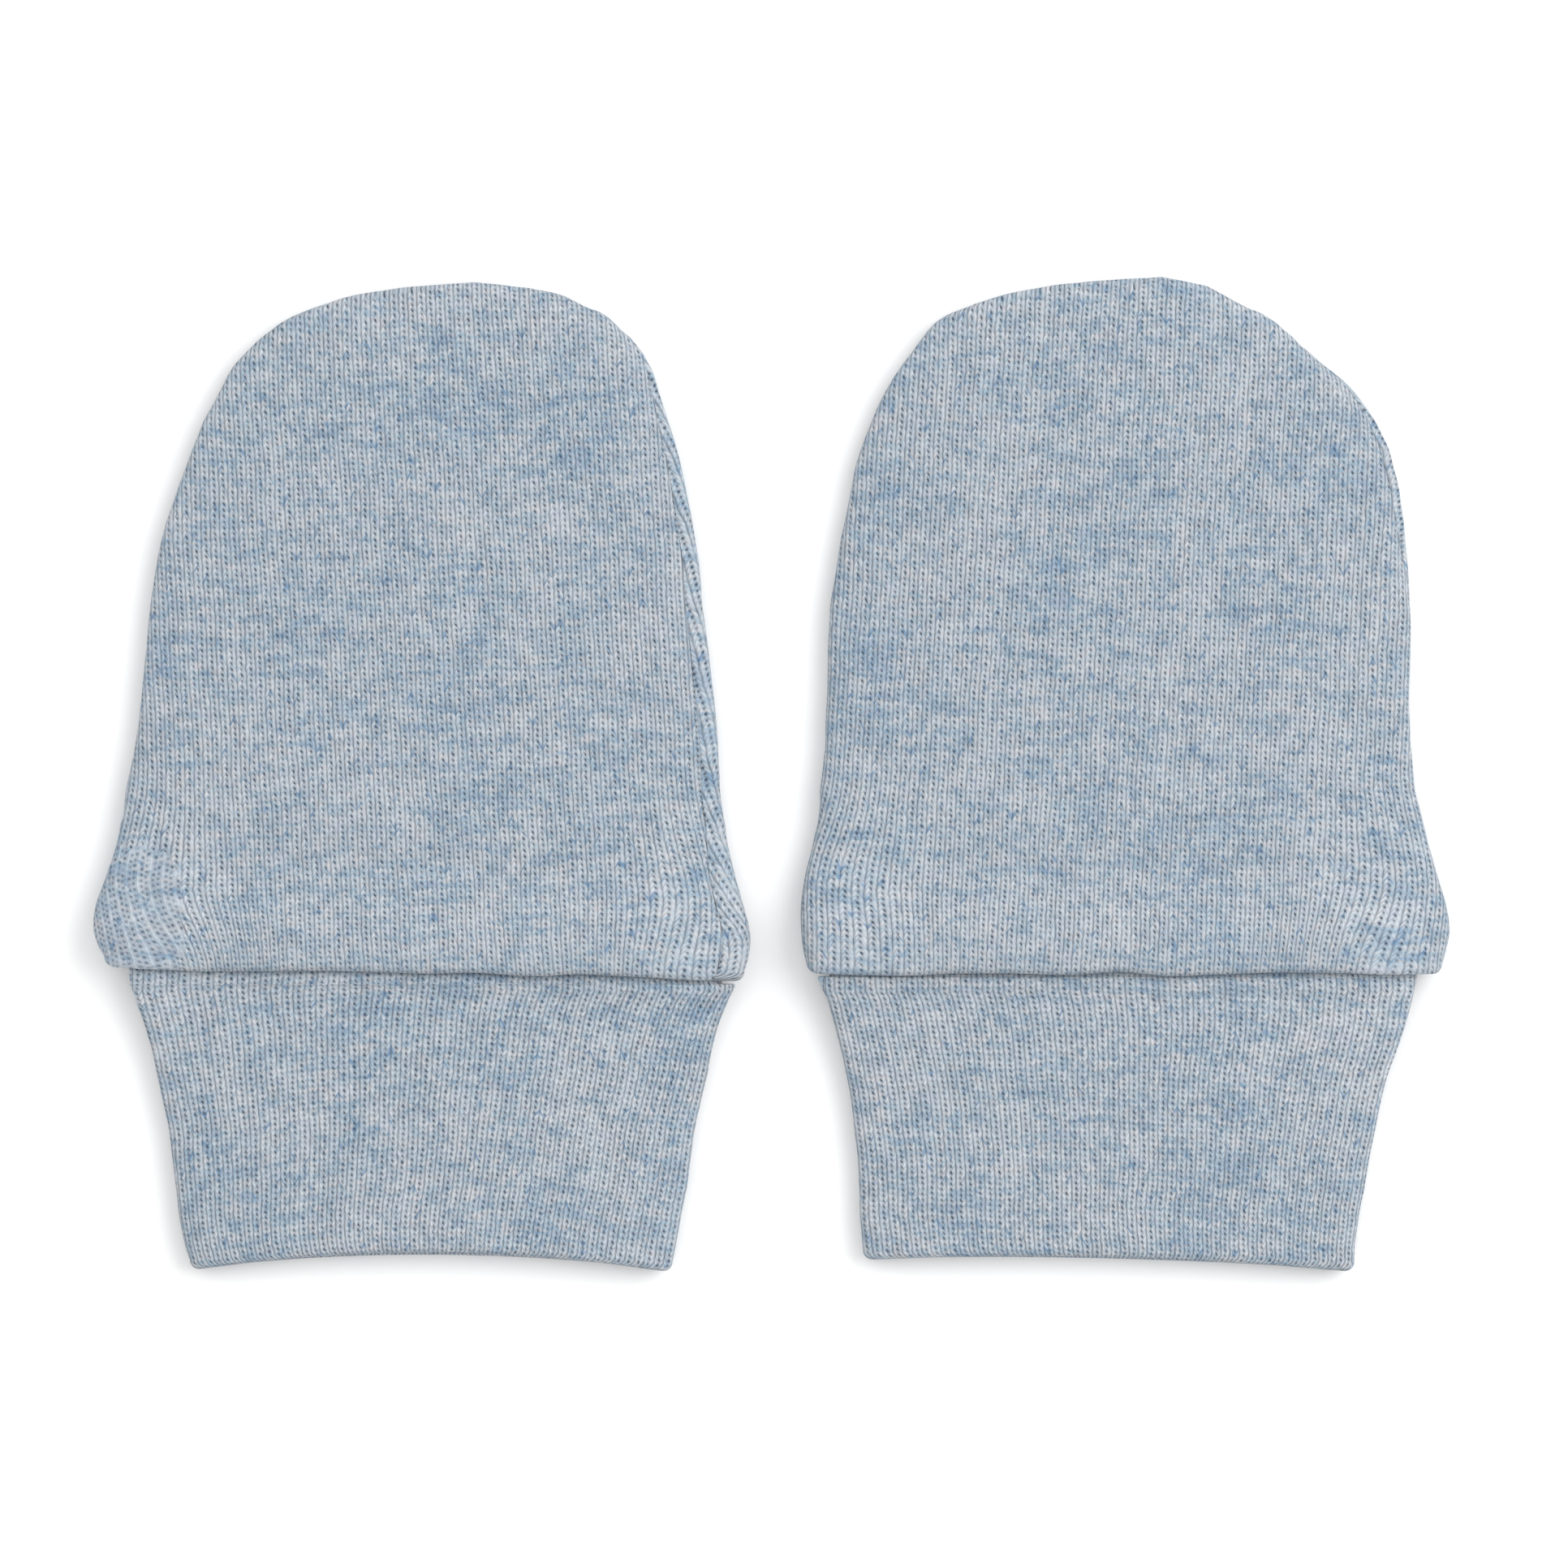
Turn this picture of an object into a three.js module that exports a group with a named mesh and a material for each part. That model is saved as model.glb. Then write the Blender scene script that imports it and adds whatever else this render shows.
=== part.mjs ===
// A pair of baby mittens in fine rib-knit cotton, laid flat side by side on a table.
// Each mitten is a front panel and a back panel seamed round the hand, and a doubled cuff.
// The panels fold under at the wrist, so a soft lip hangs over the top of the cuff.
// Millimetres. X runs across the pair, Y from the cuffs to the fingertips, Z up from the table.
import * as THREE from "three";
import { mergeVertices } from "three/addons/utils/BufferGeometryUtils.js";

// Cloth and seams.
const CLOTH = 1.0; // thickness of one layer of the knit
const LIP_GAP = 0.2; // air between the two layers of the folded lip
const LIP_INSET = 2 * CLOTH + LIP_GAP; // how far the returned layer lies inside the outer one
const LIP_RETURN = 2.6; // how far the returned layer runs back up to the cuff seam
const SEAM_GAP = 0.3; // space between two pieces at a seam
const SEAM_SPREAD = 1.0; // a seam this far from the silhouette has its whole gap sideways

// Roundness of the laid-flat bag.
const SIDE_ROUND = 0.45; // power of the superellipse across the top, small is flatter
const UNDER_RADIUS = 3.0; // radius where the flat underside turns up to the silhouette
const CROWN_REACH = 20; // length over which the top comes down to the crown
const CROWN_ROUND = 0.28; // power of that curve, small is blunter
const CROWN_NORMAL = [60, 92]; // between these heights the wall's inset turns to follow the crown

// Cuff.
const CUFF_WALL = 2 * CLOTH; // the cuff is doubled, with its fold at the hem
const CUFF_TOP_WALL = 1.4; // the same two layers pressed together in the seam
const CUFF_PRESS = [22, 30]; // heights between which the wall thins
const HEM_REACH = 14; // height over which the arch of the hem fades out

// Mesh density.
const FRONT_COLUMNS = 30;
const BACK_COLUMNS = 22;
const BODY_ROWS = 22;
const RETURN_ROWS = 2;
const LIP_ROWS = 4;
const CUFF_COLUMNS = 46;
const CUFF_ROWS = 10;
const HEM_ROWS = 4;

// Colour of the yarn, blue and undyed fibre blended.
const HEATHER_BLUE = 0xa8b4be;
const KNIT_ROUGHNESS = 0.95;

// Sections of a body from the lip up to the crown. y and the silhouette's left and right edges are
// seen from above, and drop is how much lower the right edge lies than the left. mid and top are
// heights of the silhouette and of the top surface. seamLeft and seamRight say how far in from the
// silhouette the side seams lie, above it or, when negative, on the underside.
const BODY_COLUMNS_NAMED = ["y", "left", "right", "drop", "mid", "top", "seamLeft", "seamRight"];
const CUFF_COLUMNS_NAMED = ["y", "left", "right", "low", "mid", "top"];
const CREASE_COLUMNS_NAMED = ["x1", "y1", "x2", "y2", "width", "height"];

const MITTENS = [
  {
    name: "left",
    centre: -38.95,
    body: [
      [35.0, -35.6, 36.0, 1.4, 3.9, 8.2, -1.4, 3.0],
      [36.4, -36.35, 36.45, 1.1, 3.85, 8.5, -1.4, 3.0],
      [38.4, -36.85, 36.65, 0.8, 3.7, 8.4, -1.4, 3.0],
      [41.0, -36.6, 36.0, 0.5, 3.4, 7.3, -1.4, 3.0],
      [44.5, -35.4, 34.95, 0.25, 3.0, 6.4, -1.3, 2.8],
      [48.5, -34.2, 34.0, 0.0, 2.6, 6.0, -1.2, 2.2],
      [54.0, -33.2, 33.3, 0.0, 2.4, 5.7, -1.2, 2.0],
      [62.0, -31.9, 32.8, 0.0, 2.3, 5.3, -1.2, 2.0],
      [72.0, -30.8, 31.6, 0.0, 2.3, 5.1, -1.2, 1.9],
      [82.0, -29.3, 30.5, 0.0, 2.2, 5.0, -1.1, 1.7],
      [91.0, -26.3, 28.7, 0.0, 2.2, 4.9, -0.9, 1.4],
      [98.0, -23.2, 26.6, 0.0, 2.2, 4.9, -0.6, 0.8],
      [103.0, -19.9, 24.5, 0.0, 2.2, 4.8, -0.3, 0.3],
      [106.5, -15.5, 21.0, 0.0, 2.2, 4.8, 0.0, 0.0],
      [108.8, -9.7, 16.7, 0.0, 2.2, 4.7, 0.0, 0.0],
      [110.2, -2.4, 11.5, 0.0, 2.2, 4.7, 0.0, 0.0],
      [110.8, 5.7, 5.7, 0.0, 2.2, 4.7, 0.0, 0.0],
    ],
    cuff: [
      [1.0, -26.2, 28.0, 0.0, 2.3, 5.3],
      [3.5, -26.9, 28.4, 0.0, 2.3, 5.1],
      [9.0, -27.6, 29.4, 0.0, 2.3, 4.8],
      [15.0, -28.4, 30.3, 0.0, 2.3, 4.8],
      [21.0, -29.5, 31.5, 0.1, 2.5, 5.0],
      [27.0, -31.0, 32.9, 1.0, 3.1, 5.4],
      [30.4, -32.2, 34.2, 2.0, 3.7, 5.6],
      [32.1, -32.7, 34.9, 2.35, 3.95, 5.7],
      [32.4, -32.8, 33.4, 2.4, 3.95, 5.7],
      [37.0, -33.0, 33.3, 2.5, 4.0, 5.7],
    ],
    hem: { left: 0.25, right: 0.0, archFront: 2.4, archBack: 1.9 },
    creases: [
      [-30, 45.2, 27, 44.2, 2.6, -0.5],
      [-27, 61.0, -12, 52.0, 2.6, 0.25],
      [29, 57.0, 24, 47.5, 1.8, -0.4],
      [8, 96.0, 20, 84.0, 3.0, -0.2],
      [-18, 88.0, -6, 80.0, 3.4, 0.2],
    ],
  },
  {
    name: "right",
    centre: 38.77,
    body: [
      [34.4, -34.8, 36.3, 0.0, 3.9, 8.2, -1.4, -1.2],
      [35.8, -35.15, 36.7, 0.0, 3.85, 8.5, -1.4, -1.2],
      [38.2, -35.4, 37.15, 0.0, 3.7, 8.4, -1.4, -1.2],
      [41.0, -35.4, 36.8, 0.0, 3.4, 7.3, -1.4, -1.2],
      [44.5, -34.9, 35.8, 0.0, 3.0, 6.4, -1.3, -1.2],
      [48.5, -33.9, 34.7, 0.0, 2.6, 6.0, -1.2, -1.1],
      [54.0, -33.1, 33.4, 0.0, 2.4, 5.7, -1.2, -1.0],
      [62.0, -32.6, 32.7, 0.0, 2.3, 5.3, -1.2, -0.8],
      [72.0, -32.3, 32.9, 0.0, 2.3, 5.1, -1.2, -0.3],
      [82.0, -31.0, 32.3, 0.0, 2.2, 5.0, -1.1, 0.7],
      [91.0, -28.9, 30.8, 0.0, 2.2, 4.9, -0.9, 1.0],
      [98.0, -26.2, 26.9, 0.0, 2.2, 4.9, -0.6, 0.5],
      [103.0, -22.9, 21.5, 0.0, 2.2, 4.8, -0.3, 0.0],
      [106.5, -19.9, 17.3, 0.0, 2.2, 4.8, 0.0, 0.0],
      [108.8, -14.3, 13.1, 0.0, 2.2, 4.7, 0.0, 0.0],
      [110.5, -6.3, 9.7, 0.0, 2.2, 4.7, 0.0, 0.0],
      [111.4, 5.0, 5.0, 0.0, 2.2, 4.7, 0.0, 0.0],
    ],
    cuff: [
      [1.0, -28.5, 26.5, 0.0, 2.3, 5.1],
      [3.5, -28.7, 26.8, 0.0, 2.3, 5.0],
      [9.0, -28.8, 27.6, 0.0, 2.3, 4.8],
      [15.0, -29.3, 28.7, 0.0, 2.3, 4.8],
      [21.0, -30.1, 30.1, 0.1, 2.5, 5.0],
      [27.0, -31.5, 32.1, 1.0, 3.1, 5.4],
      [30.4, -32.5, 33.0, 2.0, 3.7, 5.6],
      [32.9, -33.5, 33.5, 2.4, 3.95, 5.7],
      [33.1, -32.2, 33.5, 2.45, 4.0, 5.7],
      [37.0, -32.1, 33.5, 2.5, 4.0, 5.7],
    ],
    hem: { left: 1.5, right: 0.0, archFront: 1.2, archBack: 0.8 },
    creases: [
      [-29, 44.7, 30, 44.7, 2.6, -0.5],
      [22, 62.0, 29, 52.0, 2.4, 0.25],
      [-27, 57.0, -20, 48.0, 2.0, -0.3],
      [14, 100.0, 24, 86.0, 3.2, -0.2],
      [-20, 84.0, -10, 92.0, 3.4, 0.2],
    ],
  },
];

const clamp01 = (x) => Math.min(1, Math.max(0, x));
const smooth = (x, [from, to]) => THREE.MathUtils.smoothstep(x, from, to);
const mix = THREE.MathUtils.lerp;

// Height of a quarter circle at share x of its width, 0 at the edge and 1 from the full width on.
const quarterRound = (x) => Math.sqrt(1 - (1 - clamp01(x)) ** 2);

// The row of a table at a fractional index, each column on a Catmull-Rom curve through its values.
function rowAt(table, columns, index) {
  const last = table.length - 1;
  const start = Math.min(Math.floor(index), last - 1);
  const t = index - start;
  const near = [-1, 0, 1, 2].map((k) => table[THREE.MathUtils.clamp(start + k, 0, last)]);
  const row = {};
  columns.forEach((name, c) => {
    const [a, b, d, e] = near.map((r) => r[c]);
    const slopeStart = (d - a) / 2;
    const slopeEnd = (e - b) / 2;
    row[name] =
      b * (2 * t ** 3 - 3 * t ** 2 + 1) +
      slopeStart * (t ** 3 - 2 * t ** 2 + t) +
      d * (3 * t ** 2 - 2 * t ** 3) +
      slopeEnd * (t ** 3 - t ** 2);
  });
  return row;
}

// A silhouette point of the body, side -1 for left and 1 for right.
function silhouette(mitten, index, side) {
  const row = rowAt(mitten.body, BODY_COLUMNS_NAMED, index);
  return new THREE.Vector2(
    side < 0 ? row.left : row.right,
    side < 0 ? row.y : row.y - row.drop,
  );
}

// The silhouette moved inward: straight sideways low on the hand, square to the outline at the crown.
function silhouetteInset(mitten, index, side, inset) {
  const last = mitten.body.length - 1;
  const step = 0.02;
  const point = silhouette(mitten, index, side);
  const inward = new THREE.Vector2(-side, 0);
  const turn = smooth(point.y, CROWN_NORMAL);
  if (index > last - step) {
    inward.set(0, -1);
  } else if (turn > 0) {
    const ahead = silhouette(mitten, index + step, side).sub(point).normalize();
    inward.lerp(new THREE.Vector2(-side * ahead.y, side * ahead.x), turn).normalize();
  }
  return point.addScaledVector(inward, inset);
}

// Height of the creases at a point, each a soft ridge or trough along a line between two points.
function creaseHeight(mitten, x, y) {
  let height = 0;
  for (const row of mitten.creases) {
    const crease = rowAt([row, row], CREASE_COLUMNS_NAMED, 0);
    const line = new THREE.Vector2(crease.x2 - crease.x1, crease.y2 - crease.y1);
    const from = new THREE.Vector2(x - crease.x1, y - crease.y1);
    const share = clamp01(from.dot(line) / line.lengthSq());
    const away = from.addScaledVector(line, -share).length() / crease.width;
    height += crease.height * Math.exp(-(away ** 2));
  }
  return height;
}

// A point of the body's cloth. angle runs round the section from the right silhouette over the top,
// inset is the depth under the outer face, and lift shifts the silhouette's height for the seam gap.
function bodyPoint(mitten, index, angle, inset, lift) {
  const row = rowAt(mitten.body, BODY_COLUMNS_NAMED, index);
  const left = silhouetteInset(mitten, index, -1, inset);
  const right = silhouetteInset(mitten, index, 1, inset);
  const share = (1 + Math.cos(angle)) / 2;
  const across = new THREE.Vector2(mix(left.x, right.x, share), mix(left.y, right.y, share * share));
  const toCrown = mitten.body.at(-1)[0] - row.y;
  const mid = row.mid + lift;
  const rise = Math.sin(angle);
  let z;
  if (rise >= 0) {
    const crown = quarterRound(toCrown / CROWN_REACH) ** (2 * CROWN_ROUND);
    const dome = rise ** SIDE_ROUND * crown;
    z = mid + (row.top + creaseHeight(mitten, across.x, across.y) - inset - mid) * dome;
  } else {
    const width = (right.x - left.x) / 2;
    const side = quarterRound((width * (1 - Math.abs(Math.cos(angle)))) / UNDER_RADIUS);
    z = mid - (mid - inset) * side * quarterRound(toCrown / UNDER_RADIUS);
  }
  return new THREE.Vector3(across.x, across.y, z);
}

// The angle round the section at which a seam lies, offset along the cloth by half the seam gap.
function seamAngle(mitten, index, side, offset) {
  const row = rowAt(mitten.body, BODY_COLUMNS_NAMED, index);
  const inset = side < 0 ? row.seamLeft : row.seamRight;
  const width = Math.max((row.right - row.left) / 2, CLOTH);
  const place = inset + offset * clamp01(Math.abs(inset) / SEAM_SPREAD);
  const turn = Math.sign(place) * Math.acos(1 - Math.min(Math.abs(place) / width, 1));
  return side < 0 ? Math.PI - turn : turn;
}

// The rows of a panel from the cuff seam round the lip and up to the crown: the section they sit on,
// the depth of the outer and inner face there, and how far each is moved along Y.
function panelRows() {
  const rows = [];
  for (let i = 0; i < RETURN_ROWS; i++) {
    const up = LIP_RETURN * (1 - i / RETURN_ROWS);
    rows.push({ index: 0, outer: LIP_INSET, inner: CLOTH + LIP_GAP, outerY: up, innerY: up });
  }
  for (let i = 0; i < LIP_ROWS; i++) {
    const turn = Math.PI * (1 - i / LIP_ROWS);
    const out = (1 - Math.cos(turn)) / 2;
    rows.push({
      index: 0,
      outer: LIP_INSET * out,
      inner: CLOTH + LIP_GAP * out,
      outerY: (-LIP_INSET / 2) * Math.sin(turn),
      innerY: (-LIP_GAP / 2) * Math.sin(turn),
    });
  }
  for (let i = 0; i <= BODY_ROWS; i++)
    rows.push({ index: i / BODY_ROWS, outer: 0, inner: CLOTH, outerY: 0, innerY: 0 });
  return rows;
}

// A closed geometry from a grid of points whose rows are closed loops. The grid is a tube when its
// ends meet, and otherwise its first and last loops are closed by strips across the wall.
function gridGeometry(loops, endsMeet) {
  const count = loops[0].length;
  const positions = [];
  const indices = [];
  const at = (i, j) => (i % loops.length) * count + (j % count);
  const quad = (a, b, c, d) => indices.push(a, b, c, a, c, d);
  loops.forEach((loop) => loop.forEach((p) => positions.push(p.x, p.y, p.z)));
  const spans = endsMeet ? loops.length : loops.length - 1;
  for (let i = 0; i < spans; i++)
    for (let j = 0; j < count; j++) quad(at(i, j), at(i + 1, j), at(i + 1, j + 1), at(i, j + 1));
  if (!endsMeet)
    for (let j = 0; j < count / 2 - 1; j++) {
      const [k, last] = [count - 1 - j, loops.length - 1];
      quad(at(0, j), at(0, j + 1), at(0, k - 1), at(0, k));
      quad(at(last, j + 1), at(last, j), at(last, k), at(last, k - 1));
    }
  const raw = new THREE.BufferGeometry();
  raw.setAttribute("position", new THREE.Float32BufferAttribute(positions, 3));
  raw.setIndex(indices);
  const merged = mergeVertices(raw, 1e-3);
  const corners = merged.index.array;
  const kept = [];
  for (let i = 0; i < corners.length; i += 3) {
    const [a, b, c] = corners.slice(i, i + 3);
    if (a !== b && b !== c && c !== a) kept.push(a, b, c);
  }
  merged.setIndex(kept);
  merged.computeVertexNormals();
  return merged;
}

// A front or back panel: at each row the outer face runs from seam to seam and the inner face back.
function panelGeometry(mitten, face) {
  const front = face === "front";
  const columns = front ? FRONT_COLUMNS : BACK_COLUMNS;
  const lift = front ? SEAM_GAP / 2 : -SEAM_GAP / 2;
  const last = mitten.body.length - 1;
  const loops = panelRows().map((row) => {
    const index = row.index * last;
    const from = seamAngle(mitten, index, 1, lift);
    const to = seamAngle(mitten, index, -1, lift);
    const [start, end] = front ? [from, to] : [to, from + 2 * Math.PI];
    const point = (share, inset, along) => {
      const made = bodyPoint(mitten, index, mix(start, end, share), inset, lift);
      made.y += along;
      return made;
    };
    const loop = [];
    for (let j = 0; j <= columns; j++) loop.push(point(j / columns, row.outer, row.outerY));
    for (let j = columns; j >= 0; j--) loop.push(point(j / columns, row.inner, row.innerY));
    return loop;
  });
  return gridGeometry(loops, false);
}

// How far the hem line is raised at share u of the width, for the front or back of the cuff.
function hemRise(hem, u, arch) {
  return mix(hem.left, hem.right, (1 + u) / 2) + arch * (1 - u ** 2);
}

// A point of the cuff. depth is how far inside the outer face it lies, along a shift in Y.
function cuffPoint(mitten, index, angle, depth, along) {
  const row = rowAt(mitten.cuff, CUFF_COLUMNS_NAMED, index);
  const u = Math.cos(angle);
  const rise = Math.sin(angle);
  const halfWidth = (row.right - row.left) / 2 - depth;
  const x = (row.right + row.left) / 2 + halfWidth * u;
  const arch = mix(mitten.hem.archBack, mitten.hem.archFront, (1 + rise) / 2);
  const fade = (1 - clamp01(row.y / HEM_REACH)) ** 2;
  const y = row.y + along + hemRise(mitten.hem, u, arch) * fade;
  const side = quarterRound((halfWidth * (1 - Math.abs(u))) / UNDER_RADIUS);
  const z =
    rise >= 0
      ? row.mid + (row.top - depth - row.mid) * rise ** SIDE_ROUND
      : row.mid - (row.mid - Math.max(row.low, 0) - depth) * side;
  return new THREE.Vector3(x, y, z);
}

// The cuff: round it at each step of a path that comes down the inner face, turns out at the hem
// fold and goes back up the outer face.
function cuffGeometry(mitten) {
  const last = mitten.cuff.length - 1;
  const path = [];
  for (let i = CUFF_ROWS; i > 0; i--) path.push({ index: (i / CUFF_ROWS) * last, depth: 1, along: 0 });
  for (let i = 0; i <= HEM_ROWS; i++) {
    const turn = Math.PI * (1 - i / HEM_ROWS);
    const depth = (1 - Math.cos(turn)) / 2;
    path.push({ index: 0, depth, along: (-CUFF_WALL / 2) * Math.sin(turn) });
  }
  for (let i = 1; i <= CUFF_ROWS; i++) path.push({ index: (i / CUFF_ROWS) * last, depth: 0, along: 0 });
  const loops = path.map((step) => {
    const { y } = rowAt(mitten.cuff, CUFF_COLUMNS_NAMED, step.index);
    const wall = mix(CUFF_WALL, CUFF_TOP_WALL, smooth(y, CUFF_PRESS));
    const loop = [];
    for (let j = 0; j < CUFF_COLUMNS; j++) {
      const angle = (2 * Math.PI * j) / CUFF_COLUMNS;
      loop.push(cuffPoint(mitten, step.index, angle, step.depth * wall, step.along));
    }
    return loop;
  });
  return gridGeometry(loops, true);
}

function knitMaterial() {
  return new THREE.MeshStandardMaterial({
    color: HEATHER_BLUE,
    roughness: KNIT_ROUGHNESS,
    metalness: 0,
  });
}

// The pair, moved so that the origin is under the middle of its box, on the table.
const pair = new THREE.Group();
for (const mitten of MITTENS) {
  const pieces = {
    front: panelGeometry(mitten, "front"),
    back: panelGeometry(mitten, "back"),
    cuff: cuffGeometry(mitten),
  };
  for (const [piece, geometry] of Object.entries(pieces)) {
    const mesh = new THREE.Mesh(geometry, knitMaterial());
    mesh.name = `${mitten.name}_${piece}`;
    mesh.position.x = mitten.centre;
    pair.add(mesh);
  }
}
const box = new THREE.Box3().setFromObject(pair);
pair.position.set(-(box.min.x + box.max.x) / 2, -(box.min.y + box.max.y) / 2, -box.min.z);

export default pair;
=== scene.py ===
from functools import partial

import bpy
import numpy as np
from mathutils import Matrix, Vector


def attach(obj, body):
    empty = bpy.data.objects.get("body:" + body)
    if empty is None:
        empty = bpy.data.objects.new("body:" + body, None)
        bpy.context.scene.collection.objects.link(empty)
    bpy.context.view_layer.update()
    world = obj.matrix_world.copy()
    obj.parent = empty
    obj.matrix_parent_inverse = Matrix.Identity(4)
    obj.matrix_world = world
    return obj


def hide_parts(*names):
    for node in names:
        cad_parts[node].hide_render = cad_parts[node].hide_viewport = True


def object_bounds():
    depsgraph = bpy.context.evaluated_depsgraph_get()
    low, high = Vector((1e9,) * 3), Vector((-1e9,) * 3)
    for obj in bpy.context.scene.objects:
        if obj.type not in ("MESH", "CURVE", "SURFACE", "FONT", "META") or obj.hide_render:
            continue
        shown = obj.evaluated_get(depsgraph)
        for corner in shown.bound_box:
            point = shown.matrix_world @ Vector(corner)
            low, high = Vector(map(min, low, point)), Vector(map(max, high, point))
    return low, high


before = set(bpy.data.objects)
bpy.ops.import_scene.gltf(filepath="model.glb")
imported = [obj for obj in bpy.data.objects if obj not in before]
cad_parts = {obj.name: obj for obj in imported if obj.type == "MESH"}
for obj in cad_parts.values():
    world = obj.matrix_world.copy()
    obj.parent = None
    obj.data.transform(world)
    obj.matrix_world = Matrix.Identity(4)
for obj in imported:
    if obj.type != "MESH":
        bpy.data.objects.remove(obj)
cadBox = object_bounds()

# A pair of baby mittens in heather blue cotton rib, laid flat on a white table and seen from above.
# Tables and lengths are in millimetres, as in the part's own source; toMetres turns them into metres.
toMetres = 0.001

pair = {
    "cloth": 1.0,           # thickness of one layer
    "lipGap": 0.2,          # air between the two layers of the folded lip
    "lipReturn": 2.6,       # how far the returned layer runs back up to the cuff seam
    "seamGap": 0.06,        # half as much on each side of a seam
    "seamSpread": 1.0,      # a seam this far from the silhouette has its whole gap sideways
    "sideRound": 0.45,      # power of the superellipse across the top
    "underRadius": 3.0,     # radius where the flat underside turns up
    "crownReach": 20.0,     # length over which the top comes down to the crown
    "crownRound": 0.28,     # power of the quarter circle there
    "crownNormal": (60.0, 92.0),   # y between which an inset turns from sideways to square
    "cuffWall": 2.0,        # the cuff is doubled, with its fold at the hem
    "cuffTopWall": 1.4,     # and pressed thinner inside the lip
    "cuffPress": (22.0, 30.0),     # y where the pressing begins and ends
    "hemReach": 14.0,       # length over which the hem's slope and arch fade out
    "edgeWave": 0.13,       # how far the soft sides waver in and out
    "edgeWaves": ((1.0, 0.55), (0.5, 0.23)),     # share and size of each waver, in rows of the table
    "edgeWaveFrom": (4.0, 5.5),    # rows between which it sets in, and rows over which it ends
    "edgeWaveEnd": 0.8,
    "bodyRipples": ((0.10, 9.0), (0.06, 4.0)),   # height and size of the cloth's gentle unevenness
    "cuffRipples": ((0.10, 8.0), (0.05, 3.5)),
    "clothApart": 100.0,    # each mitten is cut from its own stretch of the pattern
    "frontApart": 50.0,
}
pair["lipInset"] = 2 * pair["cloth"] + pair["lipGap"]

# Sections of a body: y, left, right, drop, mid, top, seamLeft, seamRight.
# Sections of a cuff: y, left, right, low, mid, top.
# Creases: x1, y1, x2, y2, width, height.
leftMitten = {
    "name": "left",
    "centre": -38.95,
    "body": np.array([
        [35.0, -35.6, 36.0, 1.4, 3.9, 8.2, -1.4, 3.0],
        [36.4, -36.35, 36.45, 1.1, 3.85, 8.5, -1.4, 3.0],
        [38.4, -36.85, 36.65, 0.8, 3.7, 8.4, -1.4, 3.0],
        [41.0, -36.6, 36.0, 0.5, 3.4, 7.3, -1.4, 3.0],
        [44.5, -35.4, 34.95, 0.25, 3.0, 6.4, -1.3, 2.8],
        [48.5, -34.2, 34.0, 0.0, 2.6, 6.0, -1.2, 2.2],
        [54.0, -33.2, 33.3, 0.0, 2.4, 5.7, -1.2, 2.0],
        [62.0, -31.9, 32.8, 0.0, 2.3, 5.3, -1.2, 2.0],
        [72.0, -30.8, 31.6, 0.0, 2.3, 5.1, -1.2, 1.9],
        [82.0, -29.3, 30.5, 0.0, 2.2, 5.0, -1.1, 1.7],
        [91.0, -26.3, 28.7, 0.0, 2.2, 4.9, -0.9, 1.4],
        [98.0, -23.2, 26.6, 0.0, 2.2, 4.9, -0.6, 0.8],
        [103.0, -19.9, 24.5, 0.0, 2.2, 4.8, -0.3, 0.3],
        [106.5, -15.5, 21.0, 0.0, 2.2, 4.8, 0.0, 0.0],
        [108.8, -9.7, 16.7, 0.0, 2.2, 4.7, 0.0, 0.0],
        [110.2, -2.4, 11.5, 0.0, 2.2, 4.7, 0.0, 0.0],
        [110.8, 5.7, 5.7, 0.0, 2.2, 4.7, 0.0, 0.0],
    ]),
    "cuff": np.array([
        [1.0, -26.2, 28.0, 0.0, 2.3, 5.3],
        [3.5, -26.9, 28.4, 0.0, 2.3, 5.1],
        [9.0, -27.6, 29.4, 0.0, 2.3, 4.8],
        [15.0, -28.4, 30.3, 0.0, 2.3, 4.8],
        [21.0, -29.5, 31.5, 0.1, 2.5, 5.0],
        [27.0, -31.0, 32.9, 1.0, 3.1, 5.4],
        [30.4, -32.2, 34.2, 2.0, 3.7, 5.6],
        [32.1, -32.7, 34.9, 2.35, 3.95, 5.7],
        [32.4, -32.8, 33.4, 2.4, 3.95, 5.7],
        [37.0, -33.0, 33.3, 2.5, 4.0, 5.7],
    ]),
    "hem": {"left": 0.25, "right": 0.0, "archFront": 2.4, "archBack": 1.9},
    "creases": np.array([
        [-30, 45.2, 27, 44.2, 2.6, -0.5],
        [-27, 61.0, -12, 52.0, 2.6, 0.25],
        [29, 57.0, 24, 47.5, 1.8, -0.4],
        [8, 96.0, 20, 84.0, 3.0, -0.2],
        [-18, 88.0, -6, 80.0, 3.4, 0.2],
    ]),
    "bodyLean": 0.051,      # the wales run to the right going down, tangent of 2.9 degrees
    "cuffLean": 0.066,
    "rollLean": 0.05,       # lean of the back's wales from its edge, where it shows beside the front
    "gather": (2.5, 1.5),   # mm that the wales swing back in towards the fold, at the left and right
    "open": (1.0, 0.0),     # how far the ribs are drawn open at these two corners
    "seed": 3,
}
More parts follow.
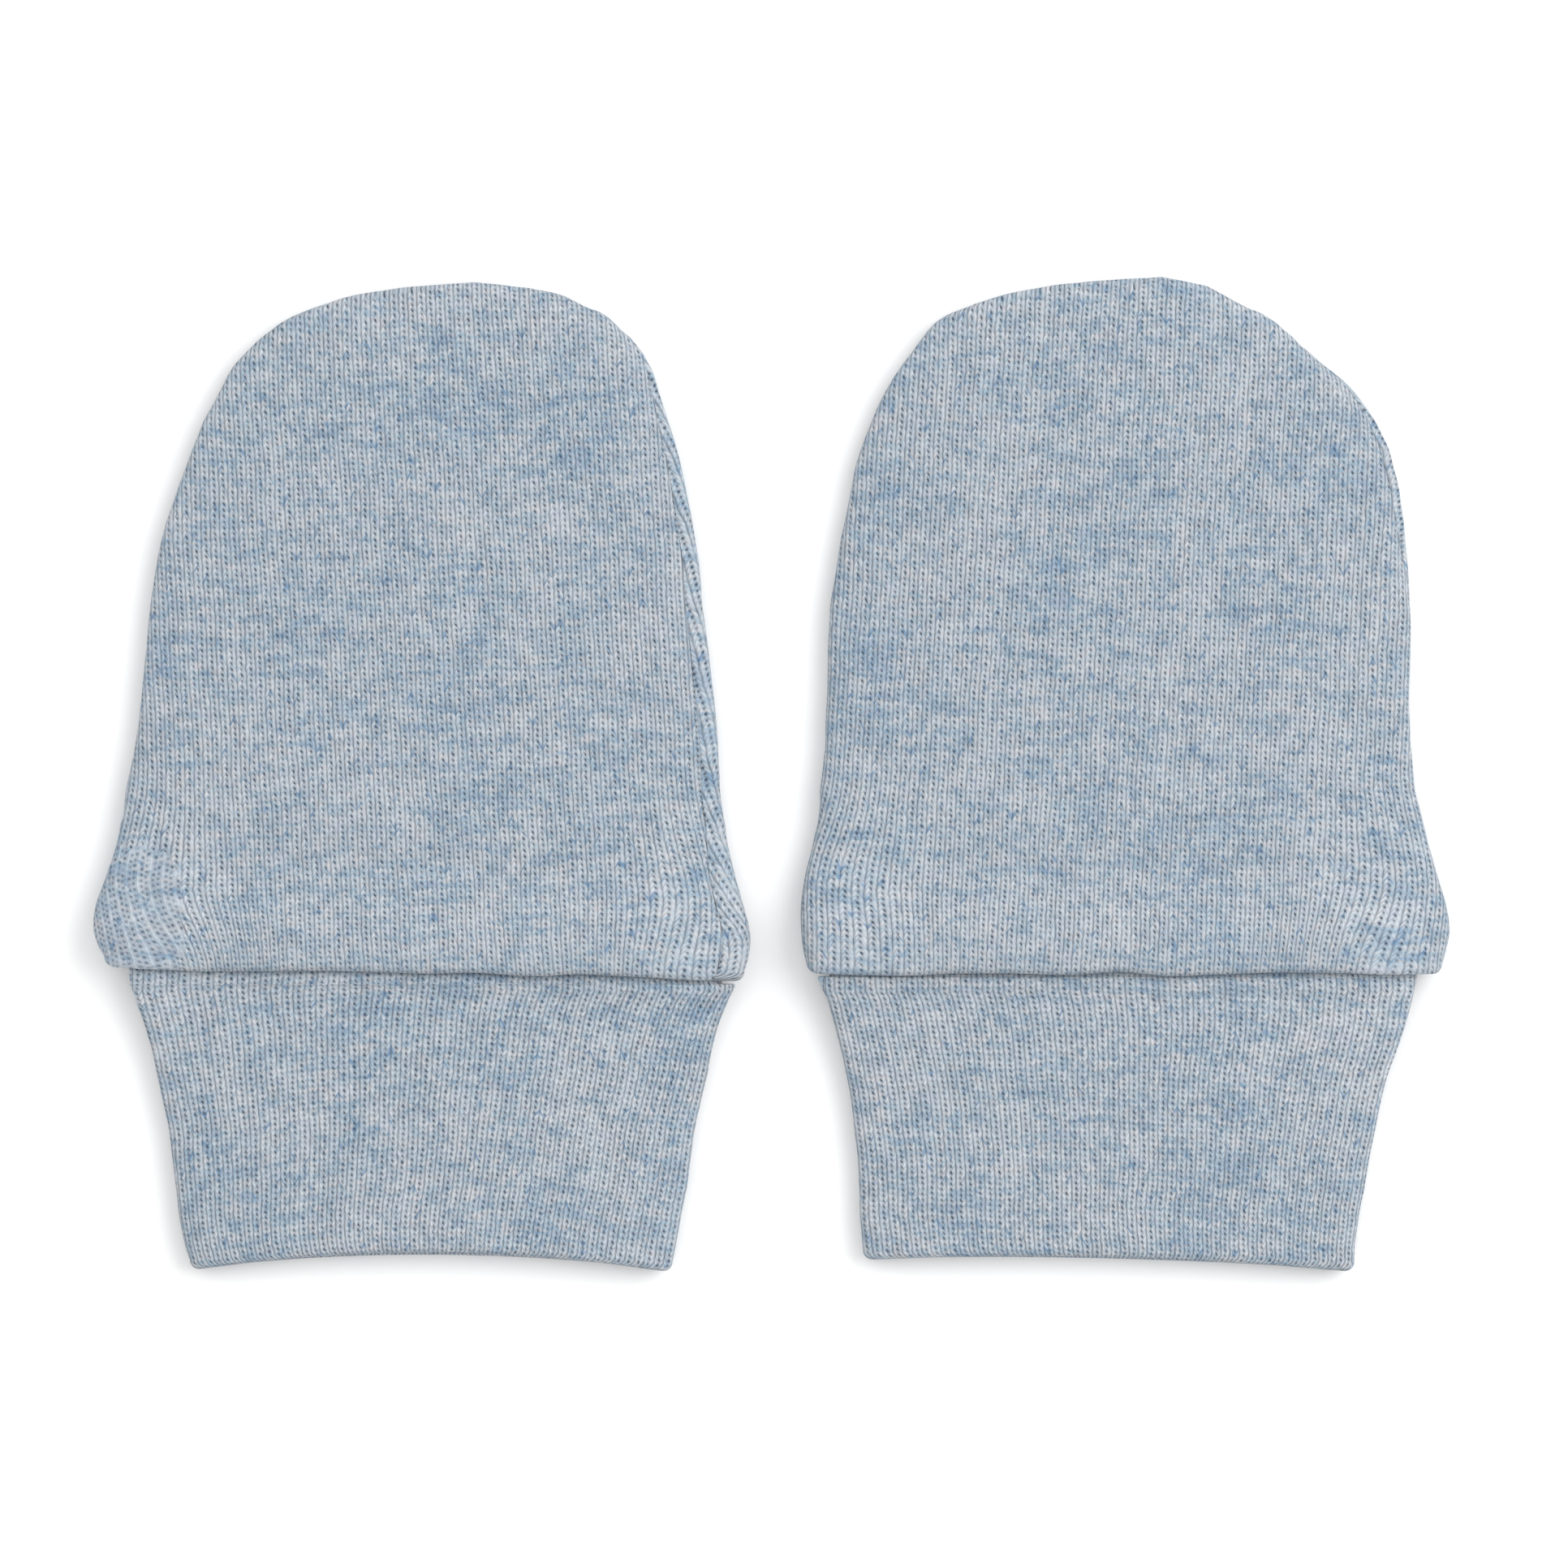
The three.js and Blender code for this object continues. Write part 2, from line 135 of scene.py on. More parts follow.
rightMitten = {
    "name": "right",
    "centre": 38.77,
    "body": np.array([
        [34.4, -34.8, 36.3, 0.0, 3.9, 8.2, -1.4, -1.2],
        [35.8, -35.15, 36.7, 0.0, 3.85, 8.5, -1.4, -1.2],
        [38.2, -35.4, 37.15, 0.0, 3.7, 8.4, -1.4, -1.2],
        [41.0, -35.4, 36.8, 0.0, 3.4, 7.3, -1.4, -1.2],
        [44.5, -34.9, 35.8, 0.0, 3.0, 6.4, -1.3, -1.2],
        [48.5, -33.9, 34.7, 0.0, 2.6, 6.0, -1.2, -1.1],
        [54.0, -33.1, 33.4, 0.0, 2.4, 5.7, -1.2, -1.0],
        [62.0, -32.6, 32.7, 0.0, 2.3, 5.3, -1.2, -0.8],
        [72.0, -32.3, 32.9, 0.0, 2.3, 5.1, -1.2, -0.3],
        [82.0, -31.0, 32.3, 0.0, 2.2, 5.0, -1.1, 0.7],
        [91.0, -28.9, 30.8, 0.0, 2.2, 4.9, -0.9, 1.0],
        [98.0, -26.2, 26.9, 0.0, 2.2, 4.9, -0.6, 0.5],
        [103.0, -22.9, 21.5, 0.0, 2.2, 4.8, -0.3, 0.0],
        [106.5, -19.9, 17.3, 0.0, 2.2, 4.8, 0.0, 0.0],
        [108.8, -14.3, 13.1, 0.0, 2.2, 4.7, 0.0, 0.0],
        [110.5, -6.3, 9.7, 0.0, 2.2, 4.7, 0.0, 0.0],
        [111.4, 5.0, 5.0, 0.0, 2.2, 4.7, 0.0, 0.0],
    ]),
    "cuff": np.array([
        [1.0, -28.5, 26.5, 0.0, 2.3, 5.1],
        [3.5, -28.7, 26.8, 0.0, 2.3, 5.0],
        [9.0, -28.8, 27.6, 0.0, 2.3, 4.8],
        [15.0, -29.3, 28.7, 0.0, 2.3, 4.8],
        [21.0, -30.1, 30.1, 0.1, 2.5, 5.0],
        [27.0, -31.5, 32.1, 1.0, 3.1, 5.4],
        [30.4, -32.5, 33.0, 2.0, 3.7, 5.6],
        [32.9, -33.5, 33.5, 2.4, 3.95, 5.7],
        [33.1, -32.2, 33.5, 2.45, 4.0, 5.7],
        [37.0, -32.1, 33.5, 2.5, 4.0, 5.7],
    ]),
    "hem": {"left": 1.5, "right": 0.0, "archFront": 1.2, "archBack": 0.8},
    "creases": np.array([
        [-29, 44.7, 30, 44.7, 2.6, -0.5],
        [22, 62.0, 29, 52.0, 2.4, 0.25],
        [-27, 57.0, -20, 48.0, 2.0, -0.3],
        [14, 100.0, 24, 86.0, 3.2, -0.2],
        [-20, 84.0, -10, 92.0, 3.4, 0.2],
    ]),
    "bodyLean": -0.045,
    "cuffLean": -0.059,
    "rollLean": 0.04,
    "gather": (0.8, 2.0),
    "open": (0.0, 0.0),
    "seed": 8,
}


def smooth(x, low, high):
    # 3t^2 - 2t^3 of t, the share of x between low and high
    t = np.clip((x - low) / (high - low), 0, 1)
    return t * t * (3 - 2 * t)


def quarterRound(x):
    # height of a quarter circle at share x of its width: sqrt(1 - (1 - x)^2)
    return np.sqrt(np.clip(1 - (1 - np.clip(x, 0, 1)) ** 2, 0, 1))


def tableAt(table, index):
    # each column on a Catmull-Rom curve through its values, read at fractional row numbers
    last = len(table) - 1
    start = np.clip(np.floor(index), 0, last - 1).astype(int)
    t = (index - start)[..., None]
    a, b, d, e = (table[np.clip(start + k, 0, last)] for k in (-1, 0, 1, 2))
    slopeStart, slopeEnd = (d - a) / 2, (e - b) / 2
    value = b * (2 * t**3 - 3 * t**2 + 1) + slopeStart * (t**3 - 2 * t**2 + t)
    value = value + d * (3 * t**2 - 2 * t**3) + slopeEnd * (t**3 - t**2)
    return np.moveaxis(value, -1, 0)


def softNoise(x, y, size, seed):
    # value noise: random values on a square lattice of the given size, joined by 3t^2 - 2t^3
    cells, middle = 64, 31
    lattice = np.random.default_rng(seed).uniform(-1, 1, (cells, cells))
    gx, gy = x / size + middle, y / size + middle
    ix, iy = np.floor(gx).astype(int), np.floor(gy).astype(int)
    tx, ty = smooth(gx - ix, 0, 1), smooth(gy - iy, 0, 1)
    corners = ((0, 0), (1, 0), (0, 1), (1, 1))
    a, b, d, e = (lattice[(ix + i) % cells, (iy + j) % cells] for i, j in corners)
    low = a * (1 - tx) + b * tx
    high = d * (1 - tx) + e * tx
    return low * (1 - ty) + high * ty


def ripples(x, y, waves, seed):
    # sum over the waves of height * softNoise(x, y, size)
    return sum(height * softNoise(x, y, size, seed + k) for k, (height, size) in enumerate(waves))


def silhouetteInset(mitten, index, side, inset):
    # the outline, moved inward by inset: sideways low on the hand, square to the outline at the crown,
    # with a slight waver between the flare and the crown
    last = len(mitten["body"]) - 1
    ahead = 0.02
    column = 1 if side < 0 else 2

    def outline(i):
        row = tableAt(mitten["body"], i)
        return row[column], row[0] - (row[3] if side > 0 else 0)

    x, y = outline(index)
    aheadX, aheadY = outline(np.minimum(index + ahead, last))
    runX, runY = aheadX - x, aheadY - y
    length = np.maximum(np.hypot(runX, runY), 1e-9)
    turn = smooth(y, *pair["crownNormal"])
    inX = -side * (1 - turn) - side * runY / length * turn
    inY = side * runX / length * turn
    length = np.maximum(np.hypot(inX, inY), 1e-9)
    inX, inY = inX / length, inY / length
    wave = ripples(index, 0 * index + 9 * side, pair["edgeWaves"], mitten["seed"] + 9)
    wave = wave * smooth(index, *pair["edgeWaveFrom"]) * smooth(last - index, 0, pair["edgeWaveEnd"])
    inset = inset + pair["edgeWave"] * wave
    atPole = index > last - ahead
    inX, inY = np.where(atPole, 0, inX), np.where(atPole, -1, inY)
    return x + inX * inset, y + inY * inset


def creaseHeight(mitten, x, y):
    # sum over the creases of height * exp(-(distance to the line / width)^2)
    height = np.zeros_like(x)
    for x1, y1, x2, y2, width, rise in mitten["creases"]:
        dx, dy = x2 - x1, y2 - y1
        share = np.clip(((x - x1) * dx + (y - y1) * dy) / (dx * dx + dy * dy), 0, 1)
        away = np.hypot(x - x1 - share * dx, y - y1 - share * dy) / width
        height = height + rise * np.exp(-(away**2))
    return height


def bodySurface(mitten, index, angle, inset, lift):
    # across by s = (1 + cos a) / 2, along by s squared, as the lip hangs lowest at the right;
    # up by |sin a|^sideRound over the hand, and flat with a radius below
    row = tableAt(mitten["body"], index)
    leftX, leftY = silhouetteInset(mitten, index, -1, inset)
    rightX, rightY = silhouetteInset(mitten, index, 1, inset)
    share = (1 + np.cos(angle)) / 2
    x = leftX + (rightX - leftX) * share
    y = leftY + (rightY - leftY) * share**2
    toCrown = mitten["body"][-1, 0] - row[0]
    mid, rise = row[4] + lift, np.sin(angle)
    crown = quarterRound(toCrown / pair["crownReach"]) ** (2 * pair["crownRound"])
    dome = np.clip(rise, 0, 1) ** pair["sideRound"] * crown
    ripple = ripples(x, y, pair["bodyRipples"], mitten["seed"])
    top = row[5] + creaseHeight(mitten, x, y) + ripple - inset
    over = mid + (top - mid) * dome
    width = (rightX - leftX) / 2
    side = quarterRound(width * (1 - np.abs(np.cos(angle))) / pair["underRadius"])
    under = mid - (mid - inset) * side * quarterRound(toCrown / pair["underRadius"])
    return np.stack([x, y, np.where(rise >= 0, over, under)], -1)


def seamAngle(mitten, index, side, offset):
    # the seam lies at acos(1 - |inset| / half width), above the silhouette or below it
    row = tableAt(mitten["body"], index)
    inset = row[6] if side < 0 else row[7]
    width = np.maximum((row[2] - row[1]) / 2, pair["cloth"])
    place = inset + offset * np.clip(np.abs(inset) / pair["seamSpread"], 0, 1)
    turn = np.sign(place) * np.arccos(1 - np.minimum(np.abs(place) / width, 1))
    return np.pi - turn if side < 0 else turn


def shellMesh(name, loops, cloth, stretch, endsMeet):
    # a closed shell: four-sided faces join each loop of the grid to the next, and the last loop to the
    # first, or strips cap the first and last loops; cloth holds each point's place in the knit, in mm,
    # and stretch how far the ribs are drawn open there, from 0 to 1
    rows, count = loops.shape[:2]
    lastRow = rows if endsMeet else rows - 1
    i, j = np.meshgrid(np.arange(lastRow), np.arange(count), indexing="ij")
    a = np.stack([i, i + 1, i + 1, i], -1).reshape(-1, 4)
    b = np.stack([j, j, j + 1, j + 1], -1).reshape(-1, 4)
    if not endsMeet:
        j = np.arange(count // 2 - 1)
        k = count - 1 - j
        startCap = np.stack([j, j + 1, k - 1, k], -1)
        endCap = np.stack([j + 1, j, k, k - 1], -1)
        a = np.concatenate([a, 0 * startCap, 0 * endCap + rows - 1])
        b = np.concatenate([b, startCap, endCap])
    points = loops.reshape(-1, 3) * toMetres
    mesh = bpy.data.meshes.new(name)
    mesh.from_pydata(points.tolist(), [], (a % rows * count + b % count).tolist())
    uv = mesh.uv_layers.new(name="cloth")
    uv.data.foreach_set("uv", cloth[a % cloth.shape[0], b % cloth.shape[1]].astype(np.float32).ravel())
    drawn = mesh.attributes.new("drawnOpen", "FLOAT", "POINT")
    drawn.data.foreach_set("value", stretch.reshape(-1).astype(np.float32))
    mesh.shade_smooth()
    piece = bpy.data.objects.new(name, mesh)
    bpy.context.scene.collection.objects.link(piece)
    return piece


def steps(points, axis, plane):
    # running length along one way of the grid, counting only the directions in plane
    move = np.linalg.norm(np.diff(points[..., plane], axis=axis), axis=-1)
    pad = [(0, 0), (0, 0)]
    pad[axis] = (1, 0)
    return np.cumsum(np.pad(move, pad), axis=axis)


# The two knits, as they lie: legs of a loop meet at the top on the hands and at the foot on the cuffs.
bodyKnit = {
    "wale": 1.058,       # mm from wale to wale
    "course": 0.655,     # mm from course to course
    "slant": 1.15,       # courses that a leg climbs from the wale's side to its middle
    "point": 1,          # legs meet at the top, as the panel is worn upside down here
    "relief": 0.00026,   # metres from the hollows to the top of a loop
    # the roll of the lip, partly real stretched cloth with whiter yarn and partly a painted highlight:
    # line and reach in y in mm, then how much whiter its yarn is made and how much painted shade leaves
    # its hollows
    "paleAndLitRoll": ((-16.2, 2.2, 0.045, 0.0), (-20.6, 1.4, 0.0, 0.08)),
}
cuffKnit = {"wale": 1.11, "course": 0.63, "slant": 1.15, "point": -1, "relief": 0.00028, "paleAndLitRoll": ()}

panel = {
    "frontColumns": 150,
    "backColumns": 130,
    "bodyRows": 150,
    "lipRows": 14,
    "returnRows": 4,
    "halfWidth": 34.0,            # mm from the middle to the side at the wrist; shares below are of this
    "flare": 2.6,                 # mm that the wales spread outward by the foot of the flare
    "flareShare": (0.6, 1.05),
    "flareAt": (57.0, 43.0),      # heights between which they spread, coming down
    "gatherShare": (0.42, 0.82),
    "gatherAt": (44.0, 33.0),
    "gatherEase": (0.80, 1.02),   # past these shares the gather loses gatherLoss of itself
    "gatherLoss": 0.6,
    "openShare": (0.68, 0.90),
    "openAt": (52.0, 43.0),
    "openSharpen": (0.1, 0.9),
    "leanAbout": 70.0,            # height at which leaning wales cross their own place
    "edgeRow": 8,                 # row of the table where the back's edge has its wales in place
    "rollWidth": 18.0,            # mm of the back's edge that is pulled askew
    "rollSpread": 0.35,           # share by which its wales are drawn apart
    "foldWave": 0.3,              # mm that the fold line wanders
    "foldWaveSize": 6.0,
    "foldWaveAt": (44.0, 35.0),
    "grooveDepth": 0.45,          # mm that the cloth is pulled in at a seam
    "grooveWidth": 0.8,
}


def drawnWales(mitten, u, v):
    # the wales move outward by flare * smooth(share of half width) * smooth(height), coming down,
    # and back inward by the side's gather in the same way, less near the edge;
    # a corner is drawn open by its own amount * smooth(smooth(share) * smooth(height))
    share = np.clip(np.abs(u) / panel["halfWidth"], 0, 1.15)
    out = panel["flare"] * smooth(share, *panel["flareShare"]) * smooth(v, *panel["flareAt"])
    back = np.where(u < 0, *mitten["gather"]) * smooth(share, *panel["gatherShare"])
    back = back * (1 - panel["gatherLoss"] * smooth(share, *panel["gatherEase"]))
    moved = np.sign(u) * (out - back * smooth(v, *panel["gatherAt"]))
    drawn = smooth(share, *panel["openShare"]) * smooth(v, *panel["openAt"])
    drawn = smooth(drawn, *panel["openSharpen"]) * np.where(u < 0, *mitten["open"])
    return u - moved, drawn


def buildPanel(mitten, face):
    # two body surfaces, one a cloth's thickness inside the other and joined at the edges; rows run from
    # the cuff seam round the half circle of the lip and up to the crown, columns from seam to seam
    front = face == "front"
    columns = panel["frontColumns"] if front else panel["backColumns"]
    lift = pair["seamGap"] / 2 * (1 if front else -1)
    cloth, gap, inset = pair["cloth"], pair["lipGap"], pair["lipInset"]
    up = pair["lipReturn"] * (1 - np.arange(panel["returnRows"]) / panel["returnRows"])
    turn = np.pi * (1 - np.arange(panel["lipRows"]) / panel["lipRows"])
    out = (1 - np.cos(turn)) / 2
    body = np.arange(panel["bodyRows"] + 1) / panel["bodyRows"]
    flat, none = np.ones_like(up), np.zeros_like(body)
    index = np.concatenate([up * 0, turn * 0, body])[:, None] * (len(mitten["body"]) - 1)
    outer = np.concatenate([flat * inset, inset * out, none])[:, None]
    inner = np.concatenate([flat * (cloth + gap), cloth + gap * out, none + cloth])[:, None]
    outerY = np.concatenate([up, -inset / 2 * np.sin(turn), none])[:, None]
    innerY = np.concatenate([up, -gap / 2 * np.sin(turn), none])[:, None]

    start, end = seamAngle(mitten, index, 1, lift), seamAngle(mitten, index, -1, lift)
    if not front:
        start, end = end, start + 2 * np.pi
    share = np.linspace(0, 1, columns + 1)[None, :]
    angle = start + (end - start) * share
    outside = bodySurface(mitten, index, angle, outer, lift)
    inside = bodySurface(mitten, index, angle, inner, lift)
    y, x = outside[..., 1], outside[..., 0]
    wave = softNoise(x, 0 * y, panel["foldWaveSize"], mitten["seed"] + 5)
    wave = panel["foldWave"] * wave * smooth(y, *panel["foldWaveAt"])
    outside[..., 1] += outerY + wave
    inside[..., 1] += innerY + wave

    # a groove where the cloth is pulled in to a seam
    toSeam = steps(outside, 1, [0, 2])
    toSeam = np.minimum(toSeam, toSeam[:, -1:] - toSeam)
    groove = panel["grooveDepth"] * np.exp(-((toSeam / panel["grooveWidth"]) ** 2))
    outside[..., 2] -= groove * (np.sin(angle) > 0)

    # place in the knit: arc length across from the middle column, and arc length up from the lip
    across = steps(outside, 1, [0, 2])
    middle = columns // 2
    across = across - across[:, middle : middle + 1]
    u = outside[:, middle : middle + 1, 0] + (-across if front else across)
    lipEnd = panel["returnRows"] + panel["lipRows"]
    along = steps(outside, 0, [1, 2])
    v = along - along[lipEnd : lipEnd + 1] + mitten["body"][0, 0]
    above = v - panel["leanAbout"]
    if front:
        u, stretch = drawnWales(mitten, u, v)
        cutU = u + mitten["bodyLean"] * above
        cutV = v - mitten["bodyLean"] * u
    else:
        # the back's wales lean the other way, and more so where its edge is rolled onto the front
        fromEdge = (across[:, -1:] - across) / panel["rollWidth"]
        edge = tableAt(mitten["body"], index)[2] - mitten["body"][panel["edgeRow"], 2]
        spread = panel["rollSpread"] * (u - u[:, -1:])
        pulled = (edge + mitten["rollLean"] * above + spread) * np.exp(-(fromEdge**2))
        cutU = u - mitten["bodyLean"] * above - pulled
        cutV = v + mitten["bodyLean"] * u
        stretch = 0 * u
    cloth2d = np.stack([cutU, cutV], -1) + pair["clothApart"] * mitten["seed"]
    cloth2d = cloth2d + (pair["frontApart"] if front else 0)
    loops = np.concatenate([outside, inside[:, ::-1]], 1)
    cloth2d = np.concatenate([cloth2d, cloth2d[:, ::-1]], 1)
    stretch = np.concatenate([stretch, stretch[:, ::-1]], 1)
    loops[..., 0] += mitten["centre"]
    loops = loops + shift
    return shellMesh(f"{mitten['name']}Knit{face.capitalize()}", loops, cloth2d, stretch, False)


cuff = {
    "columns": 300,
    "rows": 70,
    "hemRows": 12,
    "wales": 110,          # round the whole ring
    "lipAt": 31.5,         # above this y the cuff is hidden by the lip
    "leanAbout": 18.0,
    "rippleAt": (34.0, 28.0),   # y between which the unevenness sets in, going down
    "waveAt": (26.0, 22.0),
    "waveSize": 3.2,
    "swell": 0.8,          # mm that the cloth swells up just under the lip
    "swellBelow": 2.0,     # mm from the lip to the top of the swell
    "swellReach": 1.4,
}


def cuffSurface(mitten, index, angle, depth, along):
    # a superellipse above and flat with a radius below, x by u = cos a; the sides waver by wave * u^4,
    # the hem rises by arch * (1 - u^2), and a swell of height * exp(-d^2) runs along under the lip
    row = tableAt(mitten["cuff"], index)
    hem = mitten["hem"]
    u, rise = np.cos(angle), np.sin(angle)
    halfWidth = (row[2] - row[1]) / 2 - depth
    wave = softNoise(row[0], 9 * np.sign(u), cuff["waveSize"], mitten["seed"] + 11)
    wave = wave * smooth(row[0], *cuff["waveAt"])
    x = (row[2] + row[1]) / 2 + halfWidth * u + pair["edgeWave"] * wave * u**4
    arch = hem["archBack"] + (hem["archFront"] - hem["archBack"]) * (1 + rise) / 2
    fade = (1 - np.clip(row[0] / pair["hemReach"], 0, 1)) ** 2
    lineRise = hem["left"] + (hem["right"] - hem["left"]) * (1 + u) / 2 + arch * (1 - u**2)
    y = row[0] + along + lineRise * fade
    side = quarterRound(halfWidth * (1 - np.abs(u)) / pair["underRadius"])
    ripple = ripples(x, y, pair["cuffRipples"], mitten["seed"] + 20) * smooth(y, *cuff["rippleAt"])
    lipLine = mitten["body"][0][0] - mitten["body"][0][3] * ((1 + u) / 2) ** 2
    fromSwell = (y - lipLine + cuff["swellBelow"]) / cuff["swellReach"]
    ripple = ripple + cuff["swell"] * np.exp(-(fromSwell**2))
    over = row[4] + (row[5] + ripple - depth - row[4]) * np.clip(rise, 0, 1) ** pair["sideRound"]
    under = row[4] - (row[4] - np.maximum(row[3], 0) - depth) * side
    return np.stack([x, y, np.where(rise >= 0, over, under)], -1)


def buildCuff(mitten):
    # rows of the cuff surface come down the inner face, a wall's depth in, turn out round the half
    # circle of the hem fold and go up the outer face
    last = len(mitten["cuff"]) - 1
    climb = np.arange(1, cuff["rows"] + 1) / cuff["rows"] * last
    turn = np.pi * (1 - np.arange(cuff["hemRows"] + 1) / cuff["hemRows"])
    index = np.concatenate([climb[::-1], turn * 0, climb])[:, None]
    depth = np.concatenate([climb * 0 + 1, (1 - np.cos(turn)) / 2, climb * 0])[:, None]
    along = np.concatenate([climb * 0, -pair["cuffWall"] / 2 * np.sin(turn), climb * 0])[:, None]
    y = tableAt(mitten["cuff"], index)[0]
    press = smooth(y, *pair["cuffPress"])
    wall = pair["cuffWall"] + (pair["cuffTopWall"] - pair["cuffWall"]) * press
    angle = 2 * np.pi * np.arange(cuff["columns"] + 1)[None, :] / cuff["columns"]
    loops = cuffSurface(mitten, index, angle, depth * wall, along)

    # place in the knit: a fixed number of wales round the ring, so they draw together to the hem
    around = steps(loops, 1, [0, 2])
    half = cuff["columns"] // 2
    topRun = around[:, half : half + 1]
    under = 1 + (around - topRun) / (around[:, -1:] - topRun)
    u = np.where(angle <= np.pi, around / topRun, under) * cuff["wales"] / 2 * cuffKnit["wale"]
    outerFace = depth[:, 0] == 0
    hidden = outerFace & (index[:, 0] > 0) & (y[:, 0] > cuff["lipAt"])
    widest = np.flatnonzero(outerFace & (y[:, 0] <= cuff["lipAt"]))[-1]
    leftward = -loops[:, : half + 1, 0]
    for row in np.flatnonzero(hidden):
        # under the lip the wales run straight on, while the ring itself narrows
        u[row, : half + 1] = np.interp(leftward[row], leftward[widest], u[widest, : half + 1])
    v = steps(loops, 0, [1, 2])
    lean = mitten["cuffLean"] * np.sin(angle) * (y - cuff["leanAbout"])
    cloth2d = np.stack([u + lean, v], -1) + pair["clothApart"] * mitten["seed"]
    cloth2d = np.concatenate([cloth2d, cloth2d[-1:] + [0, pair["cuffTopWall"]]])
    loops[..., 0] += mitten["centre"]
    loops = (loops + shift)[:, :-1]
    return shellMesh(f"{mitten['name']}KnitCuff", loops, cloth2d, 0 * loops[..., 0], True)


# The pair's box is centred on the origin, as in the part's source.
outlineSteps = np.linspace(0, len(leftMitten["body"]) - 1, 600)
leftEdge = tableAt(leftMitten["body"], outlineSteps)[1].min() + leftMitten["centre"]
rightEdge = tableAt(rightMitten["body"], outlineSteps)[2].max() + rightMitten["centre"]
low, high = (np.array(corner) / toMetres for corner in cadBox)
crownTop = rightMitten["body"][-1, 0]
shift = np.array([(low[0] + high[0] - leftEdge - rightEdge) / 2, high[1] - crownTop, 0])


# Colours and finish.
def linear(hexColour):
    # sRGB hex to linear: c / 12.92 below 0.04045, else ((c + 0.055) / 1.055)^2.4
    c = np.array([int(hexColour[i : i + 2], 16) for i in (1, 3, 5)]) / 255
    c = np.where(c <= 0.04045, c / 12.92, ((c + 0.055) / 1.055) ** 2.4)
    return (*(float(x) for x in c), 1.0)


def addNode(tree, kind, *inputs, **settings):
    # kind is the node's type and, after a space, its operation; the inputs fill its sockets in order,
    # or by name or number where they come as one dictionary
    kind, _, operation = kind.partition(" ")
    node = tree.nodes.new("ShaderNode" + kind)
    if operation:
        node.operation = operation
    for name, value in settings.items():
        setattr(node, name, value)
    slots = inputs[0] if inputs and isinstance(inputs[0], dict) else dict(enumerate(inputs))
    for slot, value in slots.items():
        if isinstance(value, bpy.types.Node):
            value = value.outputs[0]
        if isinstance(value, bpy.types.NodeSocket):
            tree.links.new(value, node.inputs[slot])
        else:
            node.inputs[slot].default_value = value
    return node


# Heather yarn: blue fibre blended with undyed cotton before spinning, so its tint drifts along it.
heatherYarn = {
    # from the bluest yarn to the palest, with its place on the range of tones
    "tones": (("#839eb6", 0.335), ("#97aebd", 0.435), ("#afbcc5", 0.51), ("#bfc6cc", 0.64)),
    "casts": (("#b3b8c5", 0.40), ("#c1bec1", 0.60)),   # yarn with a lilac or a stone cast
    "castGain": 5.0,
    "castMost": 0.50,       # at most this share of a cast
    "hollow": "#3a5066",    # painted shade: the dark between the loops, where less light gets in
    "fleck": "#5c82a6",     # spots of fibre that took more of the blue
    "fleckScale": (0.8, 0.7),     # flecks to a wale and to a course
    "fleckFrom": 0.665,
    "fleckGain": 6.0,
    "fleckMost": 0.7,
    "tintSize": 3.0,        # mm, length of a tint along a course
    "tintShare": 0.29,
    "patchSize": 6.5,       # mm, width of a cloudy patch
    "patchHeight": 0.21,    # as a share of its width
    "patchShare": 0.71,
    "castSize": 2.2,        # mm, width of a lilac or stone patch
    "castHeight": 0.6,
    "broadScale": 0.075,    # per mm, slow change over the whole piece
    "broadShare": 0.26,
    "legShare": 0.06,       # how far the legs of the loops differ in tone
}

# How the loops look, in shares of a wale or a course. From the middle of a wale to its side is 0 to 1.
stitch = {
    "wander": ((0.11, 0.4, 0.4), (0.8, 0.14, 0.16)),   # per mm, and mm that the loops stray each way
    "waleStep": 0.45,       # courses that a wale stands above or below the next
    "legMiddle": 0.50,      # where a leg is highest
    "legOutside": 0.49,     # how far it falls off towards the side of the wale
    "legInside": 0.80,      # and towards its middle
    "headRise": 0.7,        # powers that shape a leg from its foot to its head
    "headFall": 14.0,
    "headShare": 0.55,
    "legBase": 0.52,
    "holeTurn": 1.1,        # courses by which the hollows lean across a wale
    "holeStart": 0.12,
    "holeAcross": 0.28,
    "holeAlong": 0.26,
    "holeVary": 0.46,
    "holeLeast": 0.80,
    "fibresAcross": 8.0,    # fibres to a wale and to a course
    "fibresAlong": 1.6,
    "courseStep": 7.31,     # parts the tints of neighbouring courses
    # where the rib is drawn open
    "openGain": 7.0,
    "openVary": 1.6,        # one wale opens before the next
    "threadWidth": 0.13,
    "rungAlong": 0.26,
    "rungPlace": 0.62,
    "rungAcross": 0.24,
    "threadLight": 0.22,
    "rungLight": 0.70,
    "rungDark": -0.62,      # negative: painted shade in the hollow beside a rung
    # light on the loops, where a negative value darkens
    "loopPower": 0.8,
    "loopLight": 0.82,
    "leastLight": 0.275,
    "sideLight": 0.36,      # some fibre always fills the valley between two legs
    "holeDark": -0.93,
    "fibreLight": 0.45,
    "legLight": 0.20,
    "cloudLight": 0.30,
    "cloudScale": 0.30,     # per mm
    "holeRelief": 0.6,
    "fibreRelief": 0.25,
}


